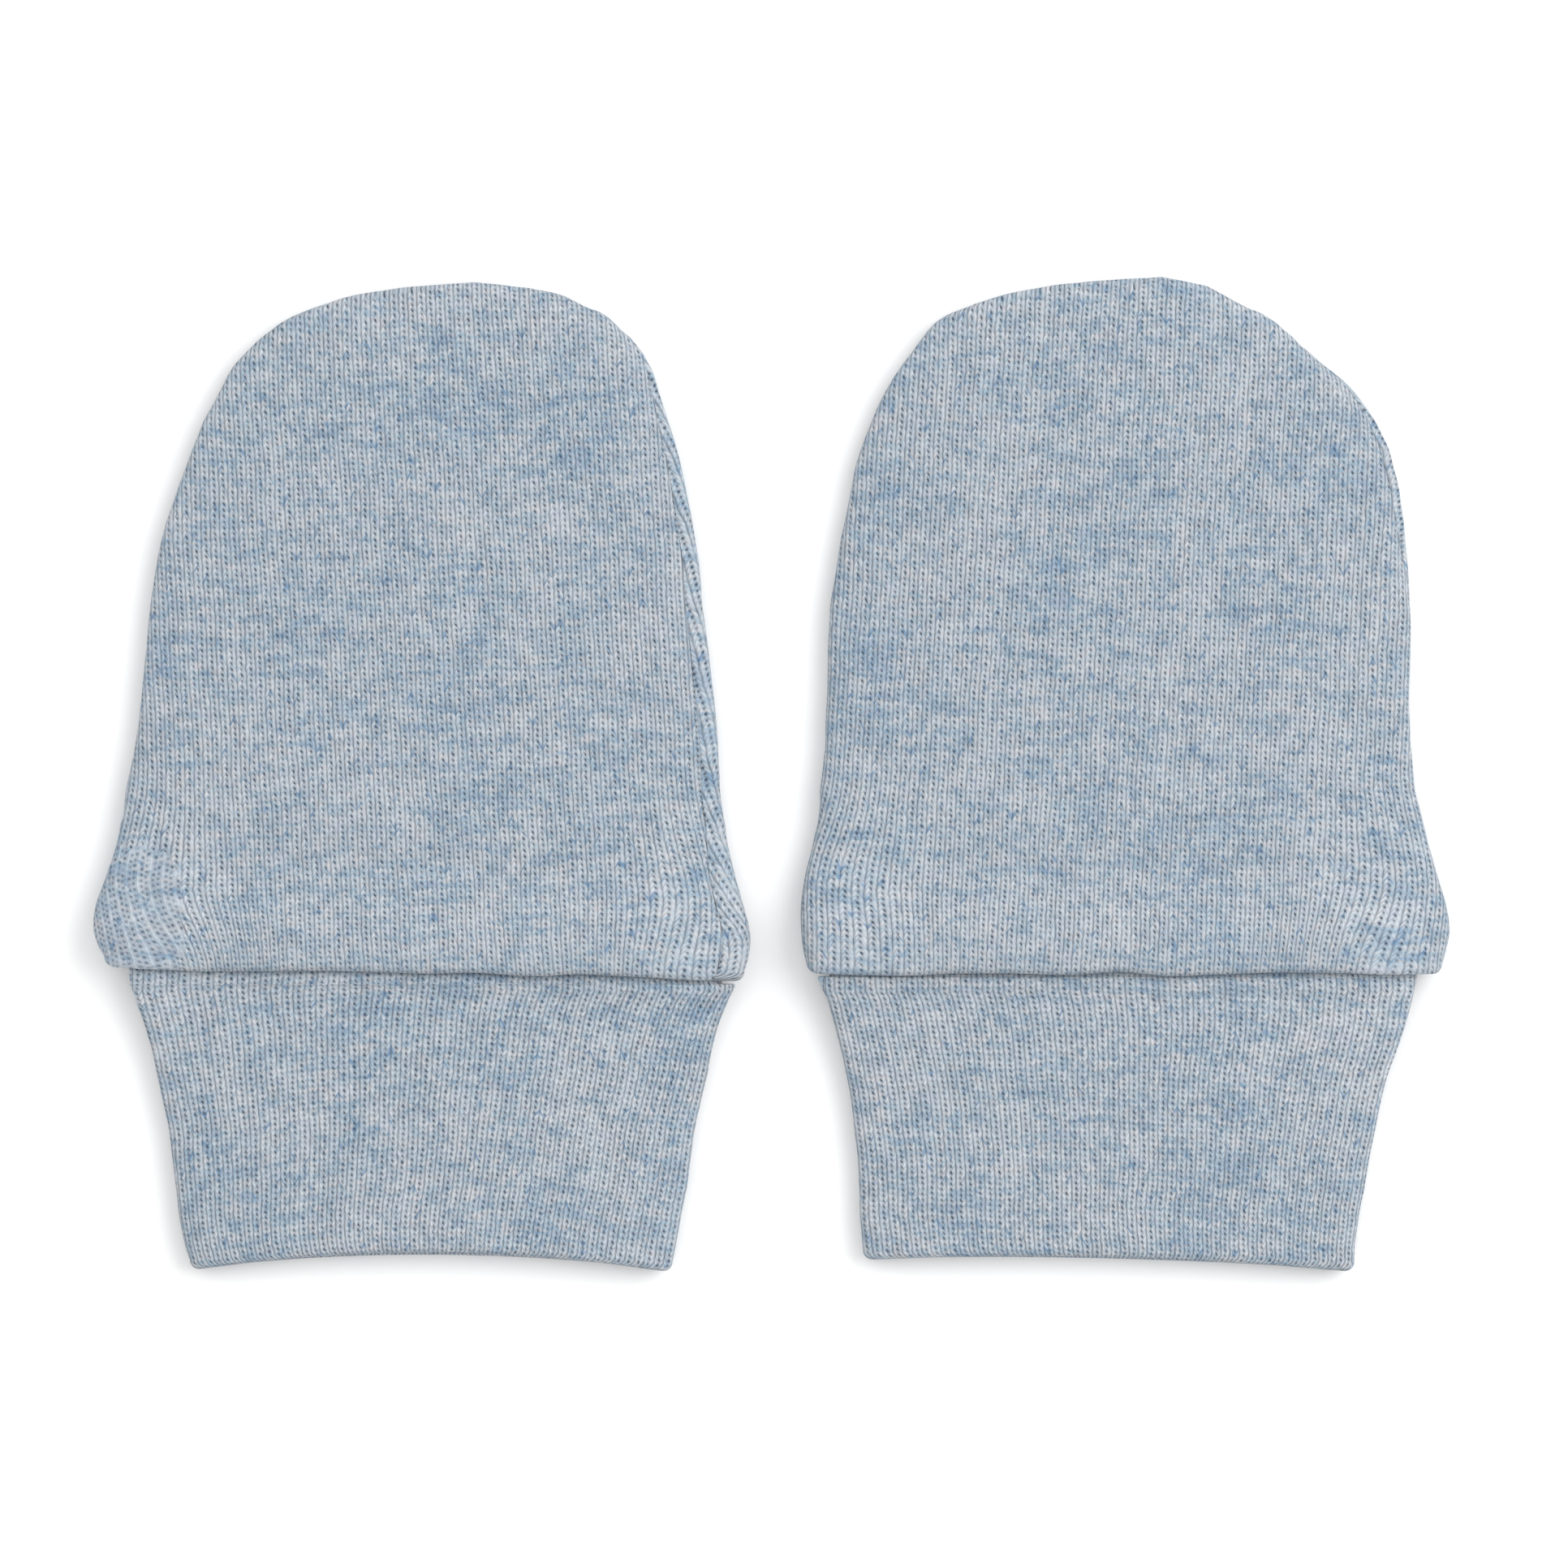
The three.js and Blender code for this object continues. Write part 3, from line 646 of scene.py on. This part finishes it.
def cottonRib(name, knit, yarn):
    # fine rib-knit heather cotton: matt, two bright legs to a wale and painted shade in the hollow
    # between them
    material = bpy.data.materials.new(name)
    material.use_nodes = True
    tree = material.node_tree
    tree.nodes.clear()
    add = partial(addNode, tree)
    flat = {"noise_dimensions": "2D"}

    # the wales wander a little, and every loop sits slightly off its place
    place = add("UVMap", uv_map="cloth")
    moved = place
    for scale, across, along in stitch["wander"]:
        wander = add("TexNoise", {"Vector": place, "Scale": scale, "Detail": 1.0}, **flat)
        wander = add("VectorMath SUBTRACT", wander.outputs["Color"], (0.5, 0.5, 0.5))
        moved = add("VectorMath MULTIPLY_ADD", wander, (across, along, 0), moved)
    axes = add("SeparateXYZ", moved)
    u, v = axes.outputs[0], axes.outputs[1]
    wales = add("Math DIVIDE", u, knit["wale"])
    courses = add("Math MULTIPLY", v, knit["point"] / knit["course"])
    waleChance = add("TexWhiteNoise", {"W": add("Math FLOOR", wales)}, noise_dimensions="1D")
    courses = add("Math MULTIPLY_ADD", waleChance, stitch["waleStep"], courses)

    # 0 where the rib lies closed, 1 where it is drawn open
    opened = add("Attribute", attribute_name="drawnOpen").outputs["Fac"]
    opened = add("Math SUBTRACT", opened, 0.5)
    opened = add("Math MULTIPLY", opened, stitch["openGain"])
    opened = add("Math MULTIPLY_ADD", waleChance, stitch["openVary"], opened)
    opened = add("Math MAXIMUM", opened, 0.0)
    opened = add("Math MINIMUM", opened, 1.0)

    # across the wale: 0 in its middle, 1 between two wales, with a leg on each side of the middle
    acrossWale = add("Math SUBTRACT", add("Math FRACT", wales), 0.5)
    fromMiddle = add("Math MULTIPLY", add("Math ABSOLUTE", acrossWale), 2.0)
    outward = add("Math SUBTRACT", fromMiddle, stitch["legMiddle"])
    outward = add("Math DIVIDE", outward, stitch["legOutside"])
    inward = add("Math SUBTRACT", stitch["legMiddle"], fromMiddle)
    inward = add("Math DIVIDE", inward, stitch["legInside"])
    legAcross = add("Math MINIMUM", add("Math MAXIMUM", outward, inward), 1.0)
    legRound = add("Math SUBTRACT", 1.0, add("Math POWER", legAcross, 2.0))

    # along the wale: legs climb towards the middle, with painted shade where each leaves the loop below
    # it
    climbed = add("Math MULTIPLY_ADD", fromMiddle, knit["slant"], courses)
    alongLeg = add("Math FRACT", climbed)
    headRise = add("Math POWER", alongLeg, stitch["headRise"])
    legHead = add("Math SUBTRACT", headRise, add("Math POWER", alongLeg, stitch["headFall"]))
    legHead = add("Math MULTIPLY_ADD", legHead, stitch["headShare"], stitch["legBase"])
    loop = add("Math MULTIPLY", legRound, legHead)

    # the hollow under each point of a loop, of its own depth: exp(-(across^2 + along^2))
    inCourse = add("Math MULTIPLY_ADD", acrossWale, stitch["holeTurn"], courses)
    inCourse = add("Math ADD", inCourse, stitch["holeStart"])
    holeAcross = add("Math POWER", add("Math DIVIDE", fromMiddle, stitch["holeAcross"]), 2.0)
    holeAlong = add("Math SUBTRACT", add("Math FRACT", inCourse), 0.5)
    holeAlong = add("Math DIVIDE", add("Math ABSOLUTE", holeAlong), stitch["holeAlong"])
    hole = add("Math ADD", holeAcross, add("Math POWER", holeAlong, 2.0))
    hole = add("Math EXPONENT", add("Math MULTIPLY", hole, -1.0))
    holeCell = add("CombineXYZ", add("Math FLOOR", wales), add("Math FLOOR", inCourse))
    holeChance = add("TexWhiteNoise", {"Vector": holeCell}, **flat)
    holeDepth = add("Math POWER", holeChance, 1.5)
    holeDepth = add("Math MULTIPLY_ADD", holeDepth, stitch["holeVary"], stitch["holeLeast"])
    holeDepth = add("Math MULTIPLY", hole, holeDepth)

    # where the rib is drawn open: a thin thread down the wale, and a rung with painted shade in a hollow
    # on each side
    thread = add("Math POWER", add("Math DIVIDE", fromMiddle, stitch["threadWidth"]), 2.0)
    thread = add("Math EXPONENT", add("Math MULTIPLY", thread, -1.0))
    rightSide = add("Math GREATER_THAN", acrossWale, 0.0)
    rung = add("Math FRACT", add("Math MULTIPLY_ADD", rightSide, 0.5, courses))
    rungAlong = add("Math DIVIDE", add("Math SUBTRACT", rung, 0.5), stitch["rungAlong"])
    rungAcross = add("Math SUBTRACT", fromMiddle, stitch["rungPlace"])
    rungAcross = add("Math DIVIDE", rungAcross, stitch["rungAcross"])
    rungHole = add("Math ADD", add("Math POWER", rungAlong, 2.0), add("Math POWER", rungAcross, 2.0))
    rungHole = add("Math EXPONENT", add("Math MULTIPLY", rungHole, -1.0))
    rungHole = add("Math MULTIPLY", rungHole, add("Math MULTIPLY_ADD", holeChance, 0.5, 0.5))
    ladder = add("Math MULTIPLY_ADD", rungHole, stitch["rungDark"], stitch["rungLight"])
    ladder = add("Math MULTIPLY_ADD", thread, stitch["threadLight"], ladder)

    # every leg has its own shade, and fibres run along it
    legCell = add("Math FLOOR", add("Math MULTIPLY", wales, 2.0))
    legCell = add("CombineXYZ", legCell, add("Math FLOOR", climbed))
    legChance = add("TexWhiteNoise", {"Vector": legCell}, **flat)
    fibreAcross = add("Math MULTIPLY", wales, stitch["fibresAcross"])
    fibreAlong = add("Math MULTIPLY", climbed, stitch["fibresAlong"])
    fibre = add("CombineXYZ", fibreAcross, fibreAlong)
    fibre = add("TexNoise", {"Vector": fibre, "Scale": 1.0, "Detail": 3.0, "Roughness": 0.7}, **flat)

    # tone of the yarn: it drifts along each course, with cloudy patches across the courses
    drift = add("Math MULTIPLY", add("Math FLOOR", climbed), stitch["courseStep"])
    drift = add("CombineXYZ", add("Math DIVIDE", u, yarn["tintSize"]), drift)
    drift = add("TexNoise", {"Vector": drift, "Scale": 1.0, "Detail": 2.0, "Roughness": 0.6}, **flat)
    patchAcross = add("Math DIVIDE", u, yarn["patchSize"])
    patchAlong = add("Math DIVIDE", v, yarn["patchSize"] * yarn["patchHeight"])
    patch = add("CombineXYZ", patchAcross, patchAlong)
    patch = add("TexNoise", {"Vector": patch, "Scale": 1.0, "Detail": 4.0, "Roughness": 0.74}, **flat)
    broad = add("TexNoise", {"Vector": place, "Scale": yarn["broadScale"], "Detail": 2.0}, **flat)
    tone = add("Math MULTIPLY", patch, yarn["patchShare"])
    tone = add("Math MULTIPLY_ADD", drift, yarn["tintShare"], tone)
    for source, share in ((legChance, yarn["legShare"]), (broad, yarn["broadShare"])):
        tone = add("Math MULTIPLY_ADD", add("Math SUBTRACT", source, 0.5), share, tone)

    # painted highlight on the roll of the lip, partly real: stretched cloth with whiter yarn and less
    # shade in its hollows
    spot = add("SeparateXYZ", add("TexCoord").outputs["Object"])
    paintedRollLight = 0.0
    for line, reach, whiterAndLit, lessShade in knit["paleAndLitRoll"]:
        away = add("Math SUBTRACT", spot.outputs[1], line * toMetres)
        away = add("Math POWER", add("Math DIVIDE", away, reach * toMetres), 2.0)
        near = add("Math EXPONENT", add("Math MULTIPLY", away, -1.0))
        tone = add("Math MULTIPLY_ADD", near, whiterAndLit, tone)
        paintedRollLight = add("Math MULTIPLY_ADD", near, lessShade, paintedRollLight)

    # patches with a lilac or a stone cast: share = |noise - 0.5| * gain, up to its most
    castAcross = add("Math DIVIDE", u, yarn["castSize"])
    castAlong = add("Math DIVIDE", v, yarn["castSize"] * yarn["castHeight"])
    cast = add("CombineXYZ", castAcross, castAlong)
    cast = add("TexNoise", {"Vector": cast, "Scale": 1.0, "Detail": 3.0, "Roughness": 0.7}, **flat)
    castShare = add("Math ABSOLUTE", add("Math SUBTRACT", cast, 0.5))
    castShare = add("Math MULTIPLY", castShare, yarn["castGain"])
    castShare = add("Math MINIMUM", castShare, yarn["castMost"])
    toneRamp, castRamp = add("ValToRGB", tone), add("ValToRGB", cast)
    for ramp, colours in ((toneRamp, yarn["tones"]), (castRamp, yarn["casts"])):
        first, *between, last = colours
        stops = ramp.color_ramp.elements
        stops[0].color, stops[0].position = linear(first[0]), first[1]
        stops[1].color, stops[1].position = linear(last[0]), last[1]
        for colour, position in between:
            stops.new(position).color = linear(colour)
    tinted = add("Mix", {0: castShare, 6: toneRamp, 7: castRamp}, data_type="RGBA").outputs[2]

    # spots of fibre that took more of the blue
    fleckAcross = add("Math MULTIPLY", wales, yarn["fleckScale"][0])
    fleckAlong = add("Math MULTIPLY", climbed, yarn["fleckScale"][1])
    fleck = add("CombineXYZ", fleckAcross, fleckAlong)
    fleck = add("TexNoise", {"Vector": fleck, "Scale": 1.0, "Detail": 1.0}, **flat)
    fleck = add("Math SUBTRACT", fleck, yarn["fleckFrom"])
    fleck = add("Math MINIMUM", add("Math MULTIPLY", fleck, yarn["fleckGain"]), yarn["fleckMost"])
    fleck = add("Math MAXIMUM", fleck, 0.0)
    tinted = add("Mix", {0: fleck, 6: tinted, 7: linear(yarn["fleck"])}, data_type="RGBA").outputs[2]

    # hollows between the loops are darker, as less light gets into them
    lit = add("Math POWER", loop, stitch["loopPower"])
    lit = add("Math MULTIPLY_ADD", lit, stitch["loopLight"], stitch["leastLight"])
    valley = add("Math MULTIPLY", add("Math SUBTRACT", 1.0, legRound), legChance)
    lit = add("Math MULTIPLY_ADD", valley, stitch["sideLight"], lit)
    lit = add("Math MULTIPLY", lit, add("Math MULTIPLY_ADD", holeDepth, stitch["holeDark"], 1.0))
    lit = add("Mix", {0: opened, 2: lit, 3: ladder}, data_type="FLOAT")
    cloud = {"Vector": place, "Scale": stitch["cloudScale"], "Detail": 3.0, "Roughness": 0.6}
    cloud = add("TexNoise", cloud, **flat)
    for source, light in ((fibre, "fibreLight"), (legChance, "legLight"), (cloud, "cloudLight")):
        lit = add("Math MULTIPLY_ADD", add("Math SUBTRACT", source, 0.5), stitch[light], lit)
    # painted highlight: the roll of the lip made lighter
    lit = add("Math MAXIMUM", add("Math ADD", lit, paintedRollLight), 0.0)
    lit = add("Math MINIMUM", lit, 1.0)
    # painted shade: the tint goes towards the hollow colour where lit is low
    shade = add("Mix", {0: lit, 6: linear(yarn["hollow"]), 7: tinted}, data_type="RGBA").outputs[2]

    height = add("Math SUBTRACT", loop, add("Math MULTIPLY", holeDepth, stitch["holeRelief"]))
    height = add("Mix", {0: opened, 2: height, 3: ladder}, data_type="FLOAT")
    height = add("Math MULTIPLY_ADD", fibre, stitch["fibreRelief"], height)
    bump = add("Bump", {"Height": height, "Distance": knit["relief"], "Strength": 1.0})
    cloth = add("BsdfPrincipled", {
        "Base Color": shade,
        "Roughness": 0.95,
        "Specular IOR Level": 0.2,
        "Sheen Weight": 0.2,
        "Sheen Roughness": 0.6,
        "Normal": bump,
    })
    add("OutputMaterial", {"Surface": cloth})
    return material


bodyCotton = cottonRib("heatherCottonRibBody", bodyKnit, heatherYarn)
cuffCotton = cottonRib("heatherCottonRibCuff", cuffKnit, heatherYarn)
print("materials made")


for mitten in (leftMitten, rightMitten):
    side = mitten["name"]
    pieces = {
        "back": buildPanel(mitten, "back"),
        "cuff": buildCuff(mitten),
        "front": buildPanel(mitten, "front"),
    }
    for part, piece in pieces.items():
        isCuff = part == "cuff"
        piece.data.materials.append(cuffCotton if isCuff else bodyCotton)
        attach(piece, "root")
        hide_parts(f"{side}_{part}")
        print(piece.name, "made,", len(piece.data.polygons), "faces")


# White table.
table = {"size": 3.0, "colour": "#f1f1f1", "roughness": 0.9, "specular": 0.1}
half = table["size"] / 2
tableMesh = bpy.data.meshes.new("floor")
corners = [(-half, -half, 0), (half, -half, 0), (half, half, 0), (-half, half, 0)]
tableMesh.from_pydata(corners, [], [(0, 1, 2, 3)])
floor = bpy.data.objects.new("floor", tableMesh)
bpy.context.scene.collection.objects.link(floor)
tableTop = bpy.data.materials.new("mattWhiteTable")
tableTop.use_nodes = True
surface = tableTop.node_tree.nodes["Principled BSDF"]
surface.inputs["Base Color"].default_value = linear(table["colour"])
surface.inputs["Roughness"].default_value = table["roughness"]
surface.inputs["Specular IOR Level"].default_value = table["specular"]
tableMesh.materials.append(tableTop)

# Light: a broad lamp from the upper right, a soft fill from the left and a pale surround.
lamps = {
    "keyLamp": {"at": (0.80, 0.40, 1.00), "size": 1.2, "power": 12.0},
    "fillLamp": {"at": (-0.40, 0.30, 1.40), "size": 1.6, "power": 6.0},
}
surround = {"colour": "#ffffff", "strength": 0.84}
for name, lamp in lamps.items():
    light = bpy.data.lights.new(name, "AREA")
    light.shape, light.size, light.energy = "DISK", lamp["size"], lamp["power"]
    holder = bpy.data.objects.new(name, light)
    holder.location = lamp["at"]
    toward = -np.array(lamp["at"])
    holder.rotation_euler = (
        float(np.arctan2(np.hypot(toward[0], toward[1]), -toward[2])),
        0.0,
        float(np.arctan2(toward[1], toward[0]) - np.pi / 2),
    )
    bpy.context.scene.collection.objects.link(holder)
world = bpy.data.worlds.new("paleStudio")
bpy.context.scene.world = world
world.use_nodes = True
background = world.node_tree.nodes["Background"]
background.inputs["Color"].default_value = linear(surround["colour"])
background.inputs["Strength"].default_value = surround["strength"]
bpy.context.scene.view_settings.view_transform = "Standard"

# Camera straight above: the image is 1932 pixels square, 11 of them to a millimetre at the cloth.
view = {"pixels": 1932, "pixelsPerMm": 11.0, "centre": (1.41, -1.14), "height": 1.2, "cloth": 0.003}
lens = bpy.data.cameras.new("overhead")
lens.sensor_width = 36.0
fieldWidth = view["pixels"] / view["pixelsPerMm"] * toMetres
lens.lens = lens.sensor_width * (view["height"] - view["cloth"]) / fieldWidth
lens.clip_end = 20.0
camera = bpy.data.objects.new("overhead", lens)
camera.location = (view["centre"][0] * toMetres, view["centre"][1] * toMetres, view["height"])
bpy.context.scene.collection.objects.link(camera)
bpy.context.scene.camera = camera
print("floor, lamps and camera placed")
